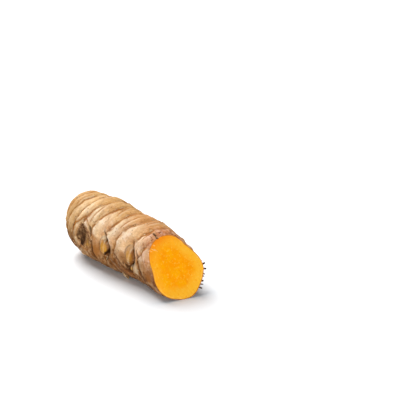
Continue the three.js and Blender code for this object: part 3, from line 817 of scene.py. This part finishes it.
def tube(path, radii, sides, roughen, chance):  # a closed tube with an uneven wall and a broken end
    path = np.array(path)
    points = []
    for k, radius in enumerate(radii):
        ahead = path[min(k + 1, len(path) - 1)] - path[max(k - 1, 0)]
        ahead = ahead / np.linalg.norm(ahead)
        first = np.cross(ahead, (1, 0.2, 0.1))
        first = first / np.linalg.norm(first)
        second = np.cross(ahead, first)
        for n in range(sides):
            turn = 2 * math.pi * n / sides
            wide = radius * (1 + roughen * chance.uniform(-1, 1))
            further = ahead * radius * roughen * 2 * chance.uniform(-1, 1) if k + 1 == len(radii) else 0
            points.append(path[k] + wide * (math.cos(turn) * first + math.sin(turn) * second) + further)
    points += [path[0], path[-1] - 0.3 * radii[-1] * ahead]
    faces = wallFaces(len(radii), sides)
    last = (len(radii) - 1) * sides
    for n in range(sides):
        faces.append(((n + 1) % sides, n, len(points) - 2))
        faces.append((last + n, last + (n + 1) % sides, len(points) - 1))
    return points, faces


def joined(pieces):
    points, faces = [], []
    for somePoints, someFaces in pieces:
        faces += [tuple(k + len(points) for k in face) for face in someFaces]
        points += list(somePoints)
    return placeInPart(points), faces


# Dried-off root ends with rough dark bark. They give the eye short bristles low on the far side and by the
# cut's edge, with thin dry hairs between them. Lengths are in mm, and leans and angles in degrees.
rootStubs = {
    "length": 1.6, "lengthShare": 0.85, "lengthVaries": 0.35, "base": 0.46, "end": 0.26, "thickVaries": 0.35,
    "sunk": 0.6, "leanVaries": 18, "bend": 0.6, "sides": 9, "rows": 7, "rough": 0.25, "uneven": 0.12,
    "byCut": {"count": 7, "from": 184, "to": 228, "inside": 1.2, "leans": -35},
    "behind": {"count": 10, "from": 9, "to": 54, "round": 210, "wander": 15, "leans": 20},
    "tones": [(0.1, "#2A1A10"), (0.9, "#7A5230"), (0.5, "#4A2F1B")], "grain": (0.35, 4, 0.6, 0.3, 0.7),
    "stretch": (1, 1, 1), "roughness": 0.7, "bumpMm": 0.04, "bumpStrength": 0.8,
}
rootHairs = {
    "count": 64, "length": (0.9, 2.8), "radius": 0.075, "taper": 0.6, "sunk": 0.2, "sag": 0.35, "drift": 0.8,
    "wander": 0.35, "sides": 5, "rows": 8, "rough": 0.15, "seed": 7,
    "byCut": {"everyOne": 4, "round": (180, 232), "inside": (0.7, 2.2)},
    "behind": {"round": (196, 300), "along": (14, 56)},
}


def rootStub(along, angle, leans, chance):
    look = rootStubs
    length = look["length"] * (look["lengthShare"] + look["lengthVaries"] * chance.uniform(-1, 1))
    lean = math.radians(leans + look["leanVaries"] * chance.uniform(-1, 1))
    thick = 1 + look["thickVaries"] * chance.uniform(-1, 1)
    out, foot = outwardAt(angle), skinAt(along, angle)
    side = np.cross(out, (1, 0, 0))
    shares = np.linspace(0, 1, look["rows"])
    bend = look["bend"] * chance.uniform(-1, 1, 2)
    path = []
    for t in shares:
        risen = t * (length + look["sunk"]) * math.cos(lean) - look["sunk"]
        ahead = -t * length * math.sin(lean) + bend[0] * t ** 2
        path.append(foot + out * risen + np.array([1, 0, 0]) * ahead + side * bend[1] * t ** 2)
    radii = look["base"] + (look["end"] - look["base"]) * shares ** 0.7
    radii = thick * radii * (1 + look["uneven"] * chance.uniform(-1, 1, len(radii)))
    return tube(path, radii, look["sides"], look["rough"], chance)


def rootHair(along, angle, chance):
    look = rootHairs
    out = outwardAt(angle)
    side = np.cross(out, (1, 0, 0))
    length = chance.uniform(*look["length"])
    drift = chance.uniform(-look["drift"], look["drift"], 2)
    path = [skinAt(along, angle) - look["sunk"] * out]
    for t in np.linspace(0, 1, look["rows"])[1:]:
        step = out * (1 - 0.5 * t) + np.array([1, 0, 0]) * drift[0] + side * drift[1]
        step = step - np.array([0, 0, look["sag"] * t])
        step = step / np.linalg.norm(step) + look["wander"] * chance.uniform(-1, 1, 3)
        following = path[-1] + step * length / look["rows"]
        following[2] = max(following[2], look["radius"])
        path.append(following)
    radii = look["radius"] * (1 - look["taper"] * np.linspace(0, 1, look["rows"]))
    return tube(path, radii, look["sides"], look["rough"], chance)


def makeRoots():
    chance = np.random.default_rng(rootHairs["seed"])
    bark = makeDryFibre("driedRootBark", rootStubs)
    stubs, hairs = [], []
    byCut, behind = rootStubs["byCut"], rootStubs["behind"]
    for k in range(byCut["count"]):
        angle = byCut["from"] + (byCut["to"] - byCut["from"]) * k / (byCut["count"] - 1)
        along = float(cutEdge(math.radians(angle))) - byCut["inside"]
        stubs.append(rootStub(along, angle, byCut["leans"], chance))
    for k in range(behind["count"]):
        along = behind["from"] + (behind["to"] - behind["from"]) * k / (behind["count"] - 1)
        angle = behind["round"] + behind["wander"] * math.sin(2.4 * k)
        stubs.append(rootStub(along, angle, behind["leans"] * math.sin(2.1 * k), chance))
    addObject("root_stubs", *joined(stubs), bark)
    byCut, behind = rootHairs["byCut"], rootHairs["behind"]
    for k in range(rootHairs["count"]):
        if k % byCut["everyOne"] == 0:
            angle = chance.uniform(*byCut["round"])
            along = float(cutEdge(math.radians(angle))) - chance.uniform(*byCut["inside"])
        else:
            angle = chance.uniform(*behind["round"])
            along = chance.uniform(*behind["along"])
        hairs.append(rootHair(along, angle, chance))
    addObject("root_hairs", *joined(hairs), bark)
    print("roots", len(stubs), "stubs,", len(hairs), "hairs")


makeRoots()

# Torn scraps of the leaf sheath: thin dry paper with a ragged edge. They give the eye curled tan flakes.
sheathScraps = {
    "thick": 0.13, "thinning": 0.6, "sunk": 0.35, "narrowest": 0.02, "notches": 10, "seed": 23,
    "ragged": {"large": 0.26, "small": 0.45}, "fineness": {"large": (18, 8), "small": (12, 4)},
    "shreds": {"firstRing": 3, "eachRing": 9, "from": -58, "to": 238, "long": (0.7, 2.4), "high": (0.3, 0.7)},
    "flakes": {"high": (0.5, 0.9), "leans": (66, 82), "curl": -36, "pastRing": 0.15},
    "large": [  # place, angle, length, height, lean towards the tip and curl
        (43.4, 118, 3.4, 1.25, 35, 35), (37.8, -50, 3.0, 3.0, -25, -75), (55.4, 205, 3.2, 1.3, 40, 30),
        (20.6, 140, 3.0, 1.2, 40, 30),
    ],
    "small": [  # ring, angle and length
        (1, 60, 1.6), (2, 15, 1.8), (2, 78, 1.5), (3, 40, 1.6), (4, 62, 2.4), (5, 84, 2.6), (5, 36, 1.6),
        (6, 72, 2.2), (6, -22, 1.8), (7, 60, 2.6), (7, 96, 2.4), (7, -8, 2.0), (8, 70, 1.6), (9, 30, 2.2),
        (9, 66, 2.0), (3, 150, 2.0), (5, 160, 2.4), (6, 215, 2.2), (7, 150, 2.4), (8, 196, 1.8),
        (9, 130, 2.0), (2, 220, 1.8), (4, 240, 2.0),
    ],
    "tones": [(0.1, "#A9743F"), (0.9, "#EBD3A8"), (0.5, "#CFA26B")], "grain": (0.3, 3, 0.6, 0.3, 0.7),
    "stretch": (0.35, 1, 1), "roughness": 0.62, "bumpMm": 0.03, "bumpStrength": 0.8,
}


def scrap(along, angle, long, high, leans, curl, kind, chance):  # along may follow the angle, as a ring does
    look = sheathScraps
    across, up = look["fineness"][kind]
    torn, places = chance.uniform(-1, 1, look["notches"]), range(look["notches"])
    edge = 1 - look["ragged"][kind] * np.abs(np.interp(np.linspace(0, places[-1], across + 1), places, torn))
    front, back = [], []
    for k in range(across + 1):
        aside = k / across - 0.5
        turned = angle + math.degrees(aside * long / finger["meanRadius"])
        out = outwardAt(turned)
        at = along(math.radians(turned)) if callable(along) else along
        point = skinAt(float(at), turned) - look["sunk"] * out
        narrow = math.sqrt(max(look["narrowest"], 1 - (2 * aside) ** 4))
        for n in range(up + 1):
            lean = math.radians(leans + curl * n / up)
            ahead = out * math.cos(lean) - np.array([math.sin(lean), 0, 0])
            if n:
                point = point + ahead * (high + look["sunk"]) * edge[k] * narrow / up
            face = out * math.sin(lean) + np.array([math.cos(lean), 0, 0])
            point[2] = max(point[2], look["thick"])
            half = face * look["thick"] / 2 * (1 - look["thinning"] * n / up)
            front.append(point + half)
            back.append(point - half)
    count, rim = len(front), up + 1
    faces = []
    for k in range(across):
        for n in range(up):
            a, b = k * rim + n, (k + 1) * rim + n
            faces += [(a, b, b + 1, a + 1), (count + a, count + a + 1, count + b + 1, count + b)]
    border = [k * rim for k in range(across + 1)] + [across * rim + n for n in range(1, rim)]
    border += [k * rim + up for k in range(across - 1, -1, -1)] + [n for n in range(up - 1, 0, -1)]
    for a, b in zip(border, border[1:] + border[:1]):
        faces.append((b, a, count + a, count + b))
    return front + back, faces


def tornEdge(ring):  # where the torn edge of a ring lies, by the angle
    past = sheathScraps["flakes"]["pastRing"]
    return lambda angle: ringLine(ring, angle) + jagAt(ring, np.array([angle]))[0] + past


def makeScraps():
    look = sheathScraps
    chance = np.random.default_rng(look["seed"])
    paper = makeDryFibre("drySheathPaper", look)
    large = [scrap(*place, "large", chance) for place in look["large"]]
    addObject("sheath_scraps", *joined(large), paper)
    small, shreds, flakes = [], look["shreds"], look["flakes"]
    places = [(*place, chance.uniform(*flakes["high"])) for place in look["small"]]
    for ring in range(shreds["firstRing"], len(rings)):
        for angle in chance.uniform(shreds["from"], shreds["to"], shreds["eachRing"]):
            places.append((ring, angle, chance.uniform(*shreds["long"]), chance.uniform(*shreds["high"])))
    for ring, angle, long, high in places:
        leans = chance.uniform(*flakes["leans"])
        small.append(scrap(tornEdge(ring), angle, long, high, leans, flakes["curl"], "small", chance))
    addObject("sheath_flakes", *joined(small), paper)
    print("scraps", len(large), "large,", len(small), "small")


makeScraps()

# Fresh turmeric juice, watery and a little cloudy. Its beads by the upper edge of the cut give the eye a
# few small wet glints.
juice = {  # each bead: angle, share of the way out, half-length and half-width
    "beads": [(50, 0.84, 1.0, 0.3), (58, 0.9, 0.5, 0.24), (43, 0.9, 0.6, 0.18), (53, 0.74, 0.45, 0.16)],
    "high": 0.16, "sunk": 0.06, "slant": -38, "rows": 5, "sides": 16,
    "tones": [(0.3, "#FFA92E"), (0.7, "#FFC36B")], "cloudMm": 0.7, "roughness": 0.08, "ior": 1.35,
}


def juiceBead(angle, share, long, wide):
    rows, sides = juice["rows"], juice["sides"]
    middleY, middleZ = axisAt(finger["cutAt"])
    aside, back = math.radians(finger["cutTurn"]), math.radians(finger["cutLeanBack"])
    lift = np.array([1, math.tan(aside), math.tan(back)])  # straight out of the cut face
    lift = lift / np.linalg.norm(lift)
    turn, slant = math.radians(angle), math.radians(juice["slant"] + angle / 3)
    reach = share * float(bodyRadius(finger["cutAt"], turn))
    points = []
    for n in range(rows):
        shrink, rise = math.cos(n / rows * math.pi / 2), math.sin(n / rows * math.pi / 2)
        for k in range(sides):
            a = 2 * math.pi * k / sides
            u = long * shrink * math.cos(a) * (1 + 0.12 * math.sin(3 * a + angle))
            v = wide * shrink * math.sin(a) * (1 + 0.25 * math.cos(a))
            y = middleY - reach * math.cos(turn) + u * math.cos(slant) - v * math.sin(slant)
            z = middleZ + reach * math.sin(turn) + u * math.sin(slant) + v * math.cos(slant)
            points.append(np.array([cutPlane(y, z), y, z]) + lift * (juice["high"] * rise - juice["sunk"]))
    ends = [tuple(range((rows - 1) * sides, rows * sides)), tuple(range(sides - 1, -1, -1))]
    return points, wallFaces(rows, sides) + ends


def makeJuice():
    material = newMaterial("turmericJuice")
    place = addNode(material, "TexCoord").outputs["Object"]
    cloudy = addNode(material, "TexNoise", {}, {
        "Vector": place, "Scale": perMm(juice["cloudMm"])}).outputs["Fac"]
    colour = addNode(material, "ValToRGB", {}, {"Fac": cloudy}, juice["tones"]).outputs["Color"]
    shader = addNode(material, "BsdfPrincipled", {}, {
        "Base Color": colour, "Roughness": juice["roughness"], "IOR": juice["ior"]})
    addNode(material, "OutputMaterial", {}, {"Surface": shader.outputs["BSDF"]})
    beads = [juiceBead(*bead) for bead in juice["beads"]]
    addObject("juice_beads", *joined(beads), material)
    print("beads", len(beads))


makeJuice()

# A plain matt pale table in soft light: a broad lamp high up beyond the tip, and a small low one in front of
# the cut. Places and sizes are in metres.
setting = {
    "tableColour": "#F4F6F8", "tableRoughness": 0.7, "tableSize": 6.0,
    "lamps": {
        "overhead": {"place": (-0.75, 0.09, 0.78), "size": 0.9, "watts": 20.5},
        "side": {"place": (0.90, -0.40, 0.15), "size": 0.28, "watts": 6.1},
    },
    "aim": (0, 0, 0), "sky": 0.2, "skyColour": "#F6F9FF",
}


def makeSetting():
    half = setting["tableSize"] / 2
    mesh = bpy.data.meshes.new("table")
    corners = [(-half, -half, 0), (half, -half, 0), (half, half, 0), (-half, half, 0)]
    mesh.from_pydata(corners, [], [(0, 1, 2, 3)])
    table = bpy.data.objects.new("table", mesh)
    bpy.context.scene.collection.objects.link(table)
    material = newMaterial("mattWhiteTable")
    shader = addNode(material, "BsdfPrincipled", {}, {
        "Base Color": setting["tableColour"], "Roughness": setting["tableRoughness"]})
    addNode(material, "OutputMaterial", {}, {"Surface": shader.outputs["BSDF"]})
    mesh.materials.append(material)
    for name, lamp in setting["lamps"].items():
        light = bpy.data.lights.new(name, "AREA")
        light.shape, light.size, light.energy = "DISK", lamp["size"], lamp["watts"]
        holder = bpy.data.objects.new(name, light)
        bpy.context.scene.collection.objects.link(holder)
        holder.location = lamp["place"]
        aim = Vector(setting["aim"]) - Vector(lamp["place"])
        holder.rotation_euler = aim.to_track_quat("-Z", "Y").to_euler()
    world = bpy.context.scene.world or bpy.data.worlds.new("sky")
    bpy.context.scene.world = world
    world.use_nodes = True
    world.node_tree.nodes["Background"].inputs["Color"].default_value = linear(setting["skyColour"])
    world.node_tree.nodes["Background"].inputs["Strength"].default_value = setting["sky"]
    bpy.context.scene.view_settings.view_transform = "Standard"


# The photograph's viewpoint: lens and sensor in mm, the rest in metres and degrees.
viewpoint = {"lens": 135, "sensor": 36, "distance": 0.6, "azimuth": 53.5, "elevation": 20,
             "aim": (-0.0379, 0.0574, 0.0028)}


def makeCamera():
    camera = bpy.data.objects.new("camera", bpy.data.cameras.new("camera"))
    bpy.context.scene.collection.objects.link(camera)
    camera.data.lens, camera.data.sensor_width = viewpoint["lens"], viewpoint["sensor"]
    turn, rise = math.radians(viewpoint["azimuth"]), math.radians(viewpoint["elevation"])
    back = Vector((math.sin(turn) * math.cos(rise), -math.cos(turn) * math.cos(rise), math.sin(rise)))
    camera.location = Vector(viewpoint["aim"]) + back * viewpoint["distance"]
    camera.rotation_euler = back.to_track_quat("Z", "Y").to_euler()
    bpy.context.scene.camera = camera


makeSetting()
makeCamera()
print("setting and camera ready")
